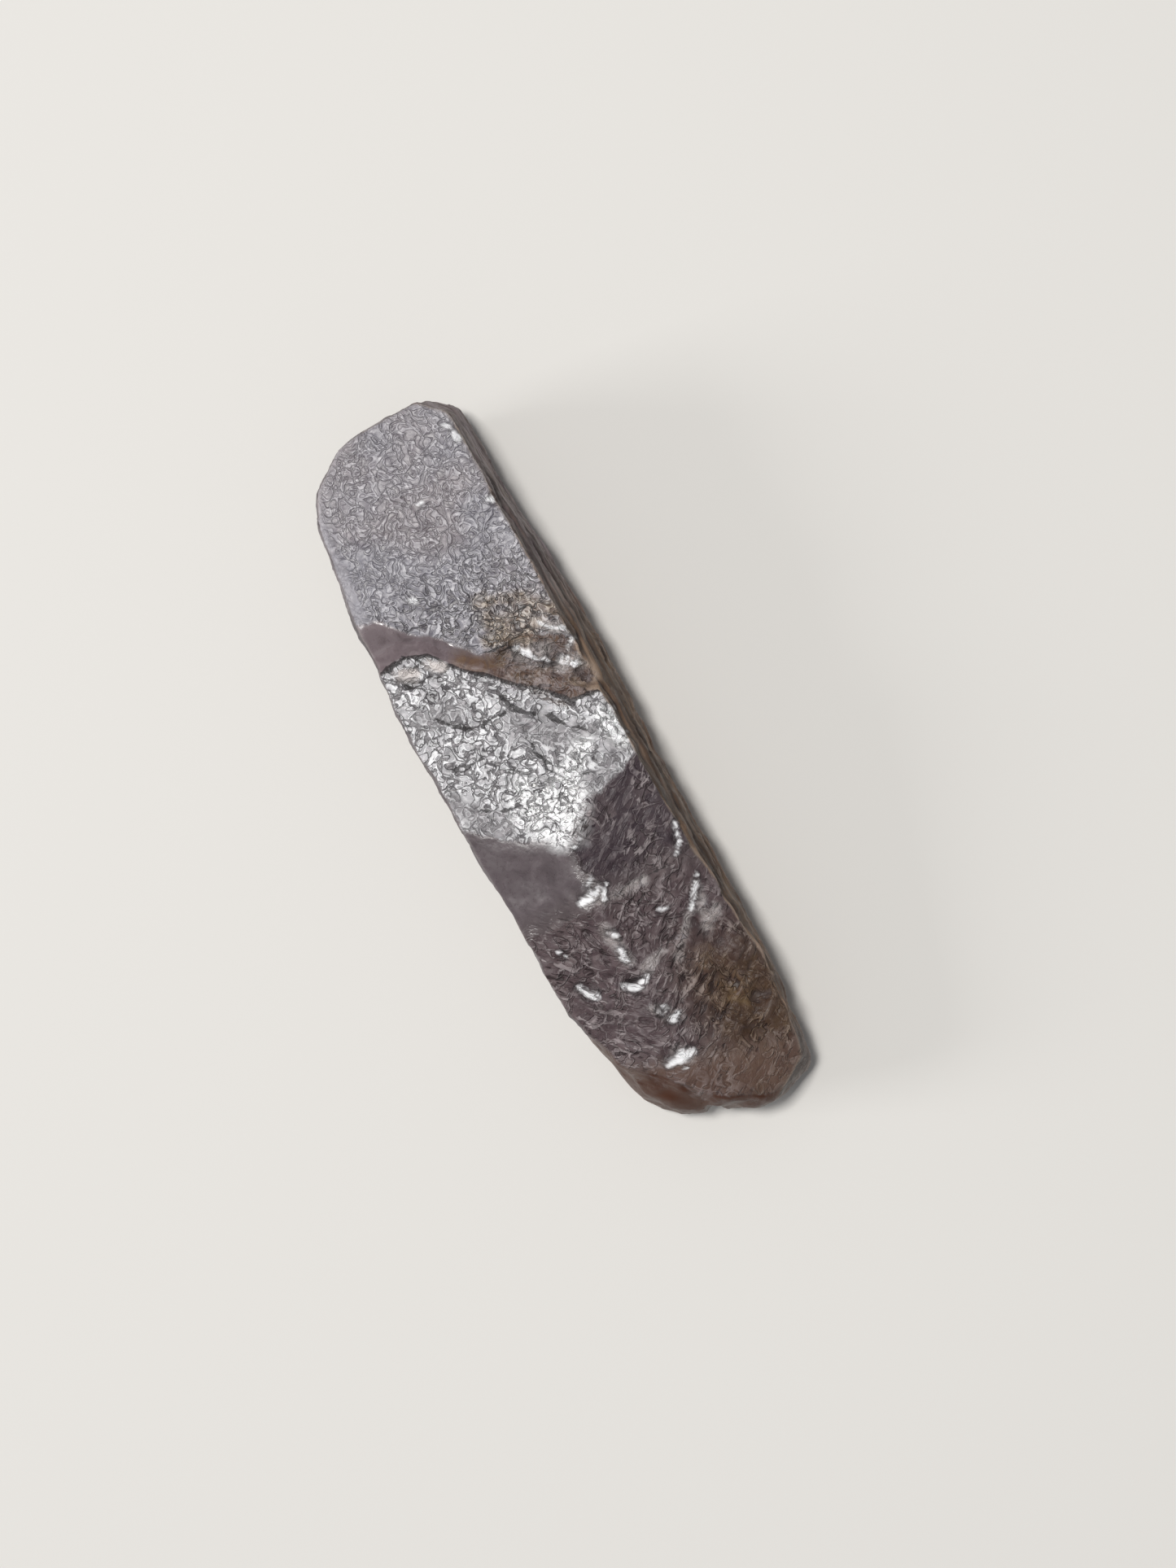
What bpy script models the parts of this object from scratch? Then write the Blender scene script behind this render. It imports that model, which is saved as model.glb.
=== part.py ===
"""A rough sapphire crystal, lying on its back face.

The stone is one piece: a flattened six-sided prism of corundum with worn edges, a broken
base, and a groove across its front. X runs along its length towards the rounded end, Y
runs across it, and Z is up. The sizes below are in millimetres, and MM turns them to metres.
"""

import math

import bmesh
import bpy
import numpy as np
from mathutils import Matrix, Vector, noise

MM = 0.001

# Driving dimensions
LENGTH = 21.7
GIRDLE = 1.8
WEAR_PASSES = 4
LUMPINESS = ((2.6, 0.060), (0.8, 0.040), (0.4, 0.018))
BROKEN_HALF = (-2.8, -6.0)
CHIP_RAGGEDNESS = 0.8
CHIP_NOISE = 0.45
FLAT_FOOT = 0.5
BACK_FILM = 0.03
SKIN_STEP = 0.085
FACETS = 8400
SEED = 7

# The one point where the broad face and the two roof faces meet, and how fast the broad
# face sinks from there towards the rounded end.
APEX = (-1.70, 0.28, 4.30)
BROAD_FACE_FALL = 0.085

# Each flat face: the way it faces in plan, counted from +X towards +Y, how far it looks
# up, and one point on it. It looks straight up at 90 and straight down at -90.
FACES = {
    "back": (0, -90, (0, 0, 0)),
    "upper_front": (0, 88.6, (6.0, 0, 4.12)),
    "roof_left": (135, 77.2, APEX),
    "roof_right": (-135, 77.2, APEX),
    "left_near_end": (84, 3, (8.0, 2.97, GIRDLE)),
    "left": (90, 3, (4.0, 3.16, GIRDLE)),
    "left_taper": (94.2, 4, (-2.0, 2.88, GIRDLE)),
    "left_bevel": (88, 58, (4.0, 2.90, 3.95)),
    "shoulder_low": (62, 4, (9.35, 2.70, GIRDLE)),
    "shoulder": (38, 4, (10.15, 2.02, GIRDLE)),
    "shoulder_high": (15, 3, (10.66, 1.15, GIRDLE)),
    "end": (2.7, 3, (10.82, -0.30, GIRDLE)),
    "end_corner": (-44, 5, (10.55, -1.76, GIRDLE)),
    "end_bevel": (3, 45, (10.74, 0, 3.94)),
    "right_near_end": (-83.8, 4, (6.3, -2.50, GIRDLE)),
    "right": (-87.4, 4.5, (-1.0, -2.92, GIRDLE)),
    "right_at_base": (-90.5, 4.5, (-7.0, -3.14, GIRDLE)),
    "under_right": (-88, -34, (0, -2.92, GIRDLE - 0.1)),
    "under_left": (92, -29, (0, 3.08, GIRDLE + 0.1)),
    "under_shoulder": (40, -30, (10.1, 1.95, GIRDLE)),
    "under_end": (-4, -24, (10.84, -0.75, GIRDLE)),
    "under_base": (172, -38, (-10.6, -1.0, 1.2)),
    "base_left": (108, 10, (-8.6, 1.97, 1.5)),
    "base_left_low": (129, 12, (-9.60, 1.38, 1.5)),
    "base_slope": (141.3, 36, (-9.05, 0.60, 3.07)),
    "base_tip_left": (158, 14, (-10.45, -0.10, 1.5)),
    "base_tip": (183, 16, (-10.84, -1.30, 1.5)),
    "base_crown": (186, 54, (-10.20, -1.30, 2.66)),
    "base_corner": (-149, 14, (-10.50, -2.36, 1.6)),
    "base_right": (-100, 9, (-9.80, -2.98, 1.6)),
}

# Rounded swellings of the broken base: middle, half sizes and turn.
LOBES = {
    "lobe_left": ((-9.22, 0.72, 1.72), (0.72, 1.12, 0.86), 141),
    "lobe_right": ((-9.78, -1.30, 1.86), (1.07, 1.16, 0.86), 0),
    "lobe_corner": ((-9.15, -2.28, 1.85), (0.90, 0.74, 0.84), 0),
}

# Notches across the front. Each end of a valley: X, Y and how far it lies below the broad
# face. Then how steeply its two sides climb, towards the base and towards the rounded end.
NOTCHES = {
    "broad_face_left": ((4.90, 3.60, 0), (4.28, 1.30, 0), 4.7, 50),
    "broad_face_right": ((4.34, 1.55, 0), (1.45, -1.60, 0), 3.6, 42),
    "broad_face_far": ((1.90, 1.50, 0), (1.40, -3.40, 0), 4.8, 45),
    "groove_mouth": ((4.86, 3.40, 0.40), (4.25, 0.95, -0.13), 60, 27),
    "groove": ((4.88, 2.10, 0.02), (1.45, -1.60, 0.29), 60, 36),
    "stained_break": ((3.00, 0.10, 0.10), (1.48, -3.10, 0.50), 60, 20),
}

# Growth layers down the right side: how high each one ends, how far the stone lies
# inside the side face above it, and how many degrees it climbs along the length.
LAYERS = ((2.15, 0.09, 0.6), (2.75, 0.19, -0.5), (3.35, 0.31, 0.3))

# Chips on the front, each a shallow scoop: X, Y, half length, half width, depth, turn.
FRONT_CHIPS = (
    (-3.30, 0.60, 0.46, 0.20, 0.09, 40),
    (-3.85, -1.00, 0.30, 0.62, 0.07, -15),
    (-2.90, -2.30, 0.55, 0.20, 0.08, 12),
    (-4.50, -2.20, 0.72, 0.26, 0.11, 32),
    (-4.60, 1.85, 0.22, 0.26, 0.06, 0),
    (-4.60, 0.42, 0.34, 0.28, 0.07, 15),
    (-5.66, 1.66, 0.55, 0.34, 0.11, 55),
    (-6.02, 0.32, 0.34, 0.60, 0.12, 8),
    (-5.65, -1.80, 0.95, 0.26, 0.12, 34),
    (-6.35, -1.05, 0.70, 0.30, 0.09, 40),
    (-6.95, 0.02, 0.40, 0.32, 0.10, 20),
    (-7.25, -1.75, 0.42, 0.55, 0.13, 20),
    (-8.36, 0.34, 0.20, 0.56, 0.10, -4),
    (-7.80, -2.50, 0.50, 0.30, 0.14, -25),
    (-8.00, -0.90, 0.60, 0.32, 0.07, -35),
    (4.20, 2.05, 0.32, 0.76, 0.09, 12),
    (3.40, 1.90, 0.20, 0.16, 0.10, 0),
    (2.20, 1.58, 0.24, 0.55, 0.07, -18),
    (1.45, -0.70, 0.55, 0.26, 0.06, 40),
    (-0.60, 0.70, 0.42, 0.36, 0.06, 10),
    (-0.30, -1.55, 0.30, 0.52, 0.10, -15),
    (0.85, -2.30, 0.60, 0.24, 0.12, 0),
    (3.45, -0.55, 0.45, 0.22, 0.09, 45),
    (2.90, -1.62, 0.50, 0.20, 0.13, 10),
    (3.70, -2.05, 0.45, 0.22, 0.12, 40),
    (2.00, -2.05, 0.26, 0.52, 0.10, 0),
    (9.40, -1.92, 0.36, 0.18, 0.07, 0),
    (7.40, -1.98, 0.30, 0.15, 0.06, 0),
)

# Chips on the sides and under the stone: a point outside, the way in, and the same sizes.
SIDE_CHIPS = (
    ((5.1, 6.0, 3.1), (0, -1, 0), 0.62, 0.80, 0.12),
    ((0.3, 6.0, 2.6), (0, -1, 0), 1.10, 0.60, 0.10),
    ((-2.6, 6.0, 2.9), (0, -1, 0), 0.80, 0.60, 0.09),
    ((-6.4, 6.0, 2.3), (0, -1, 0), 1.00, 0.60, 0.11),
    ((7.6, 6.0, 2.2), (0, -1, 0), 0.90, 0.50, 0.08),
    ((2.2, 6.0, 0.9), (0, -1, 0), 1.40, 0.50, 0.14),
    ((-4.6, 6.0, 1.0), (0, -1, 0), 0.90, 0.44, 0.12),
    ((-0.6, -6.0, 1.9), (0, 1, 0), 1.50, 0.60, 0.10),
    ((4.6, -6.0, 1.0), (0, 1, 0), 0.90, 0.50, 0.12),
    ((8.2, -6.0, 1.3), (0, 1, 0), 0.70, 0.44, 0.10),
    ((-4.4, -6.0, 1.0), (0, 1, 0), 1.30, 0.50, 0.14),
    ((14.0, 1.2, 1.4), (-1, 0, 0), 0.70, 0.50, 0.11),
    ((14.0, -1.2, 2.9), (-1, 0, 0), 0.60, 0.40, 0.09),
    ((-6.6, -0.7, -9.0), (0, 0, 1), 1.60, 0.90, 0.16),
    ((-8.6, 0.9, -9.0), (0, 0, 1), 0.80, 0.60, 0.14),
    ((5.4, 0.8, -9.0), (0, 0, 1), 1.30, 0.80, 0.13),
    ((3.4, -1.5, -9.0), (0, 0, 1), 1.10, 0.50, 0.14),
    ((-3.1, 1.7, -9.0), (0, 0, 1), 0.90, 0.60, 0.15),
    ((8.7, -0.9, -9.0), (0, 0, 1), 0.70, 0.90, 0.12),
    ((-14.0, 0.12, 1.5), (1, 0, 0), 0.26, 1.10, 0.20),
)

# Small lumps, with sizes as for the lobes: those in the stained break, one at the foot of
# the groove, and those at the right of the base.
LUMPS = (
    ((3.18, -1.05, 3.93), (0.50, 0.20, 0.20), 45),
    ((2.48, -1.88, 3.84), (0.24, 0.34, 0.18), 10),
    ((3.75, -1.55, 4.06), (0.36, 0.16, 0.15), 50),
    ((4.35, 2.35, 3.66), (0.22, 0.55, 0.17), 15),
    ((-6.30, -2.25, 3.00), (0.60, 0.30, 0.24), 30),
    ((-8.35, -2.55, 2.55), (0.50, 0.34, 0.26), -20),
    ((-9.70, -1.05, 2.62), (0.30, 0.24, 0.16), 20),
    ((-6.55, 1.30, 3.16), (0.55, 0.34, 0.18), 45),
)


def clear_scene():
    for thing in list(bpy.data.objects):
        bpy.data.objects.remove(thing)


def make_collection(name):
    made = bpy.data.collections.new(name)
    bpy.context.scene.collection.children.link(made)
    return made


def add_object(name, shape, collection):
    mesh = bpy.data.meshes.new(name)
    shape.to_mesh(mesh)
    shape.free()
    made = bpy.data.objects.new(name, mesh)
    collection.objects.link(made)
    return made


def facing(heading, lean):
    """The outward direction of a face."""
    turn = math.radians(heading)
    rise = math.radians(lean)
    return Vector((math.cos(turn) * math.cos(rise), math.sin(turn) * math.cos(rise), math.sin(rise)))


def cleave(name, collection):
    """A cube larger than the stone, cut down flat by flat to the crystal's faces."""
    shape = bmesh.new()
    bmesh.ops.create_cube(shape, size=2 * LENGTH * MM)
    for heading, lean, point in FACES.values():
        cut = bmesh.ops.bisect_plane(
            shape,
            geom=shape.verts[:] + shape.edges[:] + shape.faces[:],
            plane_co=Vector(point) * MM,
            plane_no=facing(heading, lean),
            clear_outer=True,
        )
        rim = [piece for piece in cut["geom_cut"] if isinstance(piece, bmesh.types.BMEdge)]
        bmesh.ops.edgeloop_fill(shape, edges=rim)
    bmesh.ops.recalc_face_normals(shape, faces=shape.faces)
    return add_object(name, shape, collection)


def combine(stone, tool, operation):
    """Joins a tool to the stone, or cuts it away."""
    tool.hide_render = True
    tool.display_type = "WIRE"
    step = stone.modifiers.new(tool.name, "BOOLEAN")
    step.operation = operation
    step.object = tool


def placed(middle, turn=0):
    """Where a shape goes: its middle and its turn in plan."""
    return Matrix.Translation(Vector(middle) * MM) @ Matrix.Rotation(math.radians(turn), 4, "Z")


def ball(name, half_sizes, place, collection):
    """A ball stretched to its half sizes and put in its place by a matrix."""
    shape = bmesh.new()
    bmesh.ops.create_icosphere(shape, subdivisions=3, radius=MM, matrix=Matrix.Diagonal((*half_sizes, 1)))
    made = add_object(name, shape, collection)
    made.matrix_world = place
    return made


def below_broad_face(x, y, depth):
    """The point this far below the plane of the broad face."""
    return Vector((x, y, APEX[2] - BROAD_FACE_FALL * (x - APEX[0]) - depth)) * MM


def wedge(name, first, last, slope_to_base, slope_to_end, collection):
    """A wedge with its thin edge down, between two points, that cuts a valley."""
    first = below_broad_face(*first)
    last = below_broad_face(*last)
    along = (last - first).normalized()
    level = Vector((along.y, -along.x, 0)).normalized()
    up = level.cross(along)
    reach = 9 * MM
    low = math.radians(slope_to_base)
    high = math.radians(slope_to_end)
    to_base = (level * math.cos(low) + up * math.sin(low)) * reach
    to_end = (-level * math.cos(high) + up * math.sin(high)) * reach
    shape = bmesh.new()
    near = [shape.verts.new(first + side) for side in (Vector(), to_base, to_end)]
    outline = shape.faces.new(near)
    grown = bmesh.ops.extrude_face_region(shape, geom=[outline])
    far = [piece for piece in grown["geom"] if isinstance(piece, bmesh.types.BMVert)]
    bmesh.ops.translate(shape, verts=far, vec=last - first)
    bmesh.ops.recalc_face_normals(shape, faces=shape.faces)
    return add_object(name, shape, collection)


def layer_slab(name, height, depth, climb, collection):
    """A slab that shaves the right side above one height, which leaves a ledge."""
    heading, lean, point = FACES["right"]
    shape = bmesh.new()
    bmesh.ops.create_cube(shape, size=1)
    made = add_object(name, shape, collection)
    size = Matrix.Diagonal((2 * LENGTH * MM, 4 * MM, 4 * MM, 1))
    made.data.transform(size @ Matrix.Translation((0, -0.5, 0.5)))
    inset = depth + math.tan(math.radians(lean)) * (height - point[2])
    place = Matrix.Translation(Vector((0, point[1] + inset, height)) * MM)
    turn = Matrix.Rotation(math.radians(heading + 90), 4, "Z")
    tilt = Matrix.Rotation(-math.radians(climb), 4, "Y")
    draft = Matrix.Rotation(-math.radians(lean), 4, "X")
    made.matrix_world = place @ turn @ tilt @ draft
    return made


def settled(thing, name, collection):
    """A copy of a thing with all its modifiers applied, as a plain mesh."""
    bpy.context.view_layer.update()
    graph = bpy.context.evaluated_depsgraph_get()
    mesh = bpy.data.meshes.new_from_object(thing.evaluated_get(graph))
    mesh.name = name
    made = bpy.data.objects.new(name, mesh)
    collection.objects.link(made)
    thing.hide_render = True
    thing.display_type = "WIRE"
    return made


def ramp(value, start, end):
    """Climbs smoothly from 0 at the start to 1 at the end."""
    share = min(max((value - start) / (end - start), 0), 1)
    return share * share * (3 - 2 * share)


def chip_at(stone, points, start, way, turn, half_sizes, depth):
    """Presses a shallow oval scoop into the skin, where a line from start meets it."""
    hit, spot, normal, _ = stone.ray_cast(Vector(start) * MM, Vector(way))
    if not hit:
        raise ValueError(f"no stone in front of the chip at {start}")
    across = normal.cross(Vector((math.cos(turn), math.sin(turn), 0))).normalized()
    along = across.cross(normal)
    away = points - np.array(spot / MM)
    reach = (away @ np.array(along) / half_sizes[0]) ** 2 + (away @ np.array(across) / half_sizes[1]) ** 2
    near = np.abs(away @ np.array(normal)) < max(half_sizes)
    for number in np.flatnonzero(near & (reach < 1.7)):
        ragged = reach[number] + CHIP_RAGGEDNESS * noise.noise(Vector(points[number] / CHIP_NOISE))
        if ragged < 1:
            points[number] -= (1 - max(ragged, 0)) * depth * np.array(normal)


def chip(stone, points):
    for x, y, half_length, half_width, depth, turn in FRONT_CHIPS:
        sizes = (half_length, half_width)
        chip_at(stone, points, (x, y, 9), (0, 0, -1), math.radians(turn), sizes, depth)
    for start, way, half_length, half_width, depth in SIDE_CHIPS:
        turn = math.radians(90) if way[0] else 0
        chip_at(stone, points, start, way, turn, (half_length, half_width), depth)


def undulate(points):
    """Moves each point a little by a slow noise, more at the broken base than elsewhere,
    and not at all at the flat back."""
    for point in points:
        share = ramp(point[2], 0, FLAT_FOOT) * (1 + 0.7 * ramp(point[0], *BROKEN_HALF))
        place = Vector(point)
        for size, height in LUMPINESS:
            point += np.array(noise.noise_vector(place / size)) * height * share


def reshape(stone):
    """Chips and lumps the skin by moving its points."""
    bpy.context.view_layer.update()
    points = np.empty(len(stone.data.vertices) * 3)
    stone.data.vertices.foreach_get("co", points)
    points = points.reshape(-1, 3) / MM
    chip(stone, points)
    undulate(points)
    stone.data.vertices.foreach_set("co", points.ravel() * MM)
    stone.data.update()


def flatten_back(stone):
    """Takes the lowest film off the back, so that the stone rests on one true flat."""
    shape = bmesh.new()
    shape.from_mesh(stone.data)
    ground = bmesh.ops.bisect_plane(
        shape,
        geom=shape.verts[:] + shape.edges[:] + shape.faces[:],
        plane_co=(0, 0, BACK_FILM * MM),
        plane_no=(0, 0, -1),
        clear_outer=True,
    )
    rim = [piece for piece in ground["geom_cut"] if isinstance(piece, bmesh.types.BMEdge)]
    bmesh.ops.triangle_fill(shape, use_beauty=True, edges=rim)
    bmesh.ops.translate(shape, verts=shape.verts, vec=(0, 0, -BACK_FILM * MM))
    bmesh.ops.triangulate(shape, faces=shape.faces)
    bmesh.ops.recalc_face_normals(shape, faces=shape.faces)
    shape.to_mesh(stone.data)
    shape.free()


def in_order(thing):
    """Lists a mesh's points and faces by where they lie, so that thinning it always gives
    the same facets."""
    mesh = thing.data
    points = np.empty(len(mesh.vertices) * 3)
    mesh.vertices.foreach_get("co", points)
    points = points.reshape(-1, 3)
    order = np.lexsort(np.round(points / MM, 4).T)
    rank = np.argsort(order)
    outlines = []
    for face in mesh.polygons:
        corners = [int(rank[number]) for number in face.vertices]
        first = corners.index(min(corners))
        outlines.append(corners[first:] + corners[:first])
    shape = bmesh.new()
    listed = [shape.verts.new(points[number]) for number in order]
    for outline in sorted(outlines):
        shape.faces.new([listed[number] for number in outline])
    shape.to_mesh(mesh)
    shape.free()


def weather(stone, collection):
    """Gives the cut stone an even, worn skin, chips it, and thins it to facets."""
    skin = stone.modifiers.new("skin", "REMESH")
    skin.mode = "VOXEL"
    skin.voxel_size = SKIN_STEP * MM
    skinned = settled(stone, "skinned_stone", collection)
    in_order(skinned)
    wear = skinned.modifiers.new("wear", "SMOOTH")
    wear.factor = 0.5
    wear.iterations = WEAR_PASSES
    chipped = settled(skinned, "chipped_stone", collection)
    reshape(chipped)
    thin = chipped.modifiers.new("thin", "DECIMATE")
    thin.ratio = FACETS / (2 * len(chipped.data.polygons))
    return chipped


def frosted_sapphire():
    material = bpy.data.materials.new("frosted_sapphire")
    material.use_nodes = True
    surface = material.node_tree.nodes["Principled BSDF"]
    surface.inputs["Base Color"].default_value = (0.24, 0.22, 0.25, 1)
    surface.inputs["Roughness"].default_value = 0.5
    surface.inputs["Metallic"].default_value = 0
    surface.inputs["IOR"].default_value = 1.77
    return material


def main():
    clear_scene()
    noise.seed_set(SEED)
    crystal_parts = make_collection("rough_sapphire_crystal")
    cutters = make_collection("cutters")
    stone = cleave("cleaved_block", cutters)
    for name, (middle, half_sizes, turn) in LOBES.items():
        combine(stone, ball(name, half_sizes, placed(middle, turn), cutters), "UNION")
    for name, (first, last, slope_to_base, slope_to_end) in NOTCHES.items():
        tool = wedge(name, first, last, slope_to_base, slope_to_end, cutters)
        combine(stone, tool, "DIFFERENCE")
    for number, (height, depth, climb) in enumerate(LAYERS):
        tool = layer_slab(f"layer_{number}", height, depth, climb, cutters)
        combine(stone, tool, "DIFFERENCE")
    for number, (middle, half_sizes, turn) in enumerate(LUMPS):
        combine(stone, ball(f"lump_{number}", half_sizes, placed(middle, turn), cutters), "UNION")
    chipped = weather(settled(stone, "cut_stone", cutters), cutters)
    crystal = settled(chipped, "crystal", crystal_parts)
    flatten_back(crystal)
    crystal.data.materials.clear()
    crystal.data.materials.append(frosted_sapphire())


main()
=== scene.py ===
# %% [markdown]
# # A rough sapphire crystal
#
# The stone is a flattened six-sided prism of corundum, 22 mm long, lying on its back face.
# Its front is frosted by natural etching, a smooth groove crosses it, iron has stained the
# break beside the groove, and the lower end is broken into glossy, lumpy steps.
#
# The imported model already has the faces, the groove and the larger chips. This script takes
# a copy of that solid, covers it with a fine skin, carves the etching into the skin, and
# paints it with an etched sapphire that knows which kind of surface each point lies on.

import math

import bpy
import numpy as np
from mathutils import Matrix, Vector


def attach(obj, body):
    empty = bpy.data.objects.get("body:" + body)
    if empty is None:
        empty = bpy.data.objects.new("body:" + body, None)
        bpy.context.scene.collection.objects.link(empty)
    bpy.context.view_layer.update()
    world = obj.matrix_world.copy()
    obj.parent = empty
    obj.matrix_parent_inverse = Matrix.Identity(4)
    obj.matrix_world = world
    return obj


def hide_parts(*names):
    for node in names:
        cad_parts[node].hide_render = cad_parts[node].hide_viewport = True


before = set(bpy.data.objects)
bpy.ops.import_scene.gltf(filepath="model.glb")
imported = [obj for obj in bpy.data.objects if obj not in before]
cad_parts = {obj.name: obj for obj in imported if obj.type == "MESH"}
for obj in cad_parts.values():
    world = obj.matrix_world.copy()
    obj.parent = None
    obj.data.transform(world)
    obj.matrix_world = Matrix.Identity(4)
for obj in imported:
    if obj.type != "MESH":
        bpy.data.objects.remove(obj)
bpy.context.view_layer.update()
MM = 0.001

# %% [markdown]
# ## A fine skin over the solid
#
# A carved surface needs points to carve. Subdividing the solid would put many points on
# its small triangles and few on its large ones, so the copy is remeshed instead: the
# voxel remesher lays an even net of squares over any closed shape. Its step is a third of
# the smallest etched form, 0.2 mm. A little smoothing takes away the facets of the solid
# and the steps of the voxels.

# %% Remesh a copy of the solid
SKIN_STEP = 0.074
SKIN_SMOOTHING = 3

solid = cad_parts["crystal"]
stone = bpy.data.objects.new("rough_sapphire", solid.data.copy())
bpy.context.scene.collection.objects.link(stone)
net = stone.modifiers.new("net", "REMESH")
net.mode = "VOXEL"
net.voxel_size = SKIN_STEP * MM
soften = stone.modifiers.new("soften", "SMOOTH")
soften.factor = 0.5
soften.iterations = SKIN_SMOOTHING
graph = bpy.context.evaluated_depsgraph_get()
stone.data = bpy.data.meshes.new_from_object(stone.evaluated_get(graph))
stone.modifiers.clear()
print("The skin has", len(stone.data.vertices), "points and", 2 * len(stone.data.polygons), "triangles")

# %% [markdown]
# ## Reading the skin with numpy
#
# Moving a hundred thousand points one by one is slow in Python. `foreach_get` copies all
# of them into one numpy array, and every later step is a sum on whole arrays. From here on
# lengths are in millimetres, as a gem cutter would give them.

# %% Points, directions and neighbours
def read(collection, name, width, kind=float):
    """One property of every item of a mesh collection, as rows of an array."""
    values = np.empty(len(collection) * width, kind)
    collection.foreach_get(name, values)
    return values.reshape(-1, width)


def facing_of(mesh):
    """The outward direction at each point."""
    return read(mesh.vertex_normals, "vector", 3)


points = read(stone.data.vertices, "co", 3) / MM
facing = facing_of(stone.data)
links = read(stone.data.edges, "vertices", 2, np.int32)
COUNT = len(points)
NEIGHBOURS = np.bincount(links.ravel(), minlength=COUNT)


def averaged(values, times):
    """Evens out one value per point by mixing it with its neighbours' a number of times."""
    for _ in range(times):
        gathered = np.bincount(links[:, 0], values[links[:, 1]], COUNT)
        gathered += np.bincount(links[:, 1], values[links[:, 0]], COUNT)
        values = (values + gathered / NEIGHBOURS) / 2
    return values


FACING_ROUNDS = 12
broad_facing = np.stack([averaged(facing[:, axis], FACING_ROUNDS) for axis in range(3)], axis=1)
broad_facing /= np.linalg.norm(broad_facing, axis=1)[:, None]
print("Highest point", points[:, 2].max().round(2), "mm, lowest", points[:, 2].min().round(3), "mm")

# %% [markdown]
# ## Natural unevenness
#
# Two patterns make nearly everything on a weathered crystal. Gradient noise rises and
# falls smoothly and gives swells and ripples. Cell noise splits space into small blocks,
# and tilting each block by its own amount gives the broken, many-faced look of chipped
# and etched stone. Both are written for whole arrays, with a fixed seed, so the stone
# comes out the same each time.

# %% Gradient noise and cell noise
def scramble(cells, seed):
    """A number from 0 to 1 for each whole-numbered cell, the same one each time."""
    mixed = np.uint32(seed * 374761393 % 2**32)
    for axis, prime in enumerate((2654435761, 2246822519, 3266489917)):
        mixed = (mixed ^ cells[:, axis].astype(np.uint32)) * np.uint32(prime)
        mixed = mixed ^ (mixed >> np.uint32(15))
    mixed = (mixed * np.uint32(668265263)) ^ (mixed >> np.uint32(13))
    return (mixed & np.uint32(0xFFFFFF)) / 0xFFFFFF


def swell(places, size, seed=0):
    """Smooth noise from about -1 to 1, with swells of one size in millimetres."""
    spots = places / size
    low = np.floor(spots).astype(np.int64)
    inside = spots - low
    fade = inside**3 * (inside * (inside * 6 - 15) + 10)
    total = np.zeros(len(places))
    for corner in np.ndindex(2, 2, 2):
        cell = low + corner
        away = inside - corner
        slope = sum((scramble(cell, seed * 3 + axis) * 2 - 1) * away[:, axis] for axis in range(3))
        total += slope * np.prod(np.where(corner, fade, 1 - fade), axis=1)
    return total * 1.6


def blocks(places, size, seed=0):
    """The height of tilted blocks of one size, about -1 to 1."""
    spots = places / size
    middle = np.floor(spots).astype(np.int64)
    nearest = np.full(len(places), 9.0)
    height = np.zeros(len(places))
    for step in np.ndindex(3, 3, 3):
        cell = middle + np.array(step) - 1
        seat = cell + np.stack([scramble(cell, seed * 7 + axis) for axis in range(3)], axis=1)
        away = spots - seat
        distance = np.linalg.norm(away, axis=1)
        tilt = np.stack([scramble(cell, seed * 7 + 3 + axis) * 2 - 1 for axis in range(3)], axis=1)
        closer = distance < nearest
        height = np.where(closer, np.sum(tilt * away, axis=1) + tilt[:, 0] * 0.4, height)
        nearest = np.where(closer, distance, nearest)
    return height


def worms(places, size, seed=0, width=0.16):
    """Thin winding ridges, 1 on the ridge and 0 away from it: where a noise crosses zero."""
    warp = np.stack([swell(places + 7 * axis, size * 1.7, seed + 5) for axis in range(3)], axis=1)
    return 1 - np.clip(np.abs(swell(places + warp * size * 0.7, size, seed)) / width, 0, 1)


def ramp(value, start, end):
    """Climbs smoothly from 0 at the start to 1 at the end."""
    share = np.clip((value - start) / (end - start), 0, 1)
    return share * share * (3 - 2 * share)


print("Noise runs from", swell(points, 1.0).min().round(2), "to", swell(points, 1.0).max().round(2))

# %% [markdown]
# ## Where each kind of surface lies
#
# The borders between the faces of the front are lines that can be drawn on a plan of the
# stone, seen along the camera's direction, which leans 4 degrees from upright. Each
# border below is a list of corners: how far across the stone, and how far along it. The
# plan coordinates of every point are compared with them, and a little noise frays the
# borders, as etching does.

# %% Plan coordinates and borders
VIEW_TILT = math.radians(4)
MIDDLE_HEIGHT = 1.8
along = points[:, 0]
across = points[:, 1] * math.cos(VIEW_TILT) + (points[:, 2] - MIDDLE_HEIGHT) * math.sin(VIEW_TILT)
height = points[:, 2]
fray = 0.10 * swell(points, 0.45, 11) + 0.05 * swell(points, 0.18, 12)

UPPER_FACE_FOOT = (
    (-3.5, 2.6), (-2.2, 2.95), (-1.8, 3.25), (-1.3, 3.55), (-0.9, 3.80), (-0.3, 3.72), (0.0, 3.7),
    (0.4, 3.85), (0.85, 4.2), (1.15, 4.6), (1.5, 4.9), (1.9, 5.2), (2.3, 5.6), (2.5, 5.85), (2.95, 5.95),
)
GROOVE_FOOT = (
    (-3.5, 1.5), (-1.8, 1.5), (-1.3, 1.6), (-1.0, 1.9), (-0.5, 2.4), (-0.1, 2.7), (0.3, 3.1),
    (0.7, 3.4), (0.95, 3.6), (1.35, 4.0), (1.6, 4.35), (2.0, 4.5), (2.3, 4.65), (2.6, 4.6), (2.95, 4.55),
)
BROAD_FACE_FOOT = (
    (-3.0, -0.2), (-2.1, -0.5), (-1.4, -0.85), (-0.4, -1.0), (0.4, -1.7), (0.6, -1.73),
    (1.93, -1.13), (2.9, -0.3), (3.3, 0.2),
)
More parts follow.
